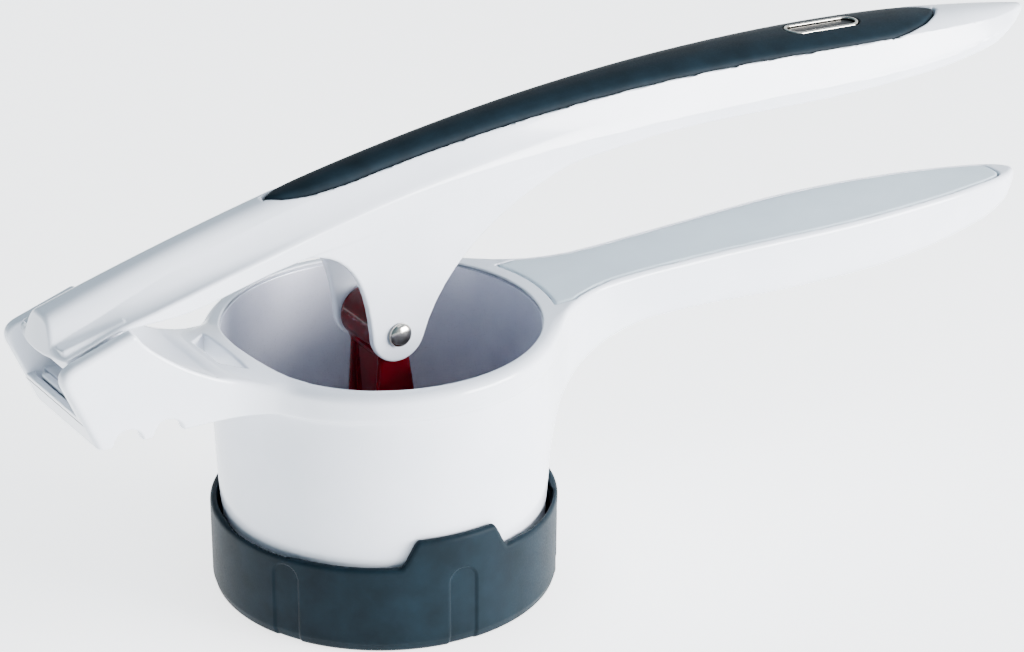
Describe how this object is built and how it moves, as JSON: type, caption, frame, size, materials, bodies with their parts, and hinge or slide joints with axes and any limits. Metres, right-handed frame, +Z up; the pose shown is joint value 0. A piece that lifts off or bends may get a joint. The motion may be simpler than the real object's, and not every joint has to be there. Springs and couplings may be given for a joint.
{
  "type": "potato ricer",
  "caption": "Hand-held potato ricer: perforated cup with a long handle, hinged press handle, swinging plunger and twist-off foot ring.",
  "frame": {"origin": "on the surface it stands on, under the middle of its overall length", "axes": "+X runs from the hinge towards the handle tips, +Z is up along the chamber's axis"},
  "size_m": [0.3026, 0.091, 0.1276],
  "materials": {
    "gloss_white": "glossy moulded nylon",
    "liner_steel": "satin drawn stainless steel",
    "satin_cover": "satin moulded inlay",
    "retainer_white": "glossy moulded clip",
    "hinge_steel": "polished stainless steel",
    "handle_white": "glossy moulded nylon",
    "soft_grip": "satin soft-touch overmould with a fine grain",
    "bezel_chrome": "bright trim ring",
    "badge_black": "plain dark inlay, no lettering",
    "clear_red": "deep translucent red moulding",
    "pin_steel": "polished stainless steel",
    "cap_steel": "polished stainless steel",
    "ring_slate": "dark slate moulding with a satin skin",
    "disc_steel": "pressed and perforated stainless sheet"
  },
  "bodies": {
    "chamber": {"chamber_body": "gloss_white", "chamber_liner": "liner_steel", "lower_handle_cover": "satin_cover", "hinge_retainer": "retainer_white", "hinge_pin": "hinge_steel"},
    "press_handle": {"upper_handle": "handle_white", "soft_grip": "soft_grip", "badge_bezel": "bezel_chrome", "badge_plate": "badge_black", "plunger_pin": "pin_steel", "plunger_pin_cap": "cap_steel"},
    "press_plunger": {"plunger": "clear_red"},
    "disc": {"ricing_disc": "disc_steel"},
    "foot_ring": {"lock_ring": "ring_slate"}
  },
  "joints": [
    {"name": "handle_hinge", "type": "hinge", "parent": "chamber", "child": "press_handle", "pos_m": [-0.1399, 0, 0.0865], "axis": [0, -1, 0], "range_deg": [0, 70]},
    {"name": "plunger_swing", "type": "hinge", "parent": "press_handle", "child": "press_plunger", "pos_m": [-0.0548, 0, 0.0728], "axis": [0, -1, 0], "range_deg": [-46.6, 0]},
    {"name": "disc_drop", "type": "slide", "parent": "chamber", "child": "disc", "axis": [0, 0, -1], "range_m": [0, 0.0073]},
    {"name": "ring_twist", "type": "hinge", "parent": "disc", "child": "foot_ring", "pos_m": [-0.0539, 0, 0], "axis": [0, 0, 1], "range_deg": [0, 60]}
  ],
  "couplings": [
    {"joint": "plunger_swing", "follows": "handle_hinge", "ratio": -0.66},
    {"joint": "disc_drop", "follows": "ring_twist", "m_per_rad": 0.006875}
  ]
}
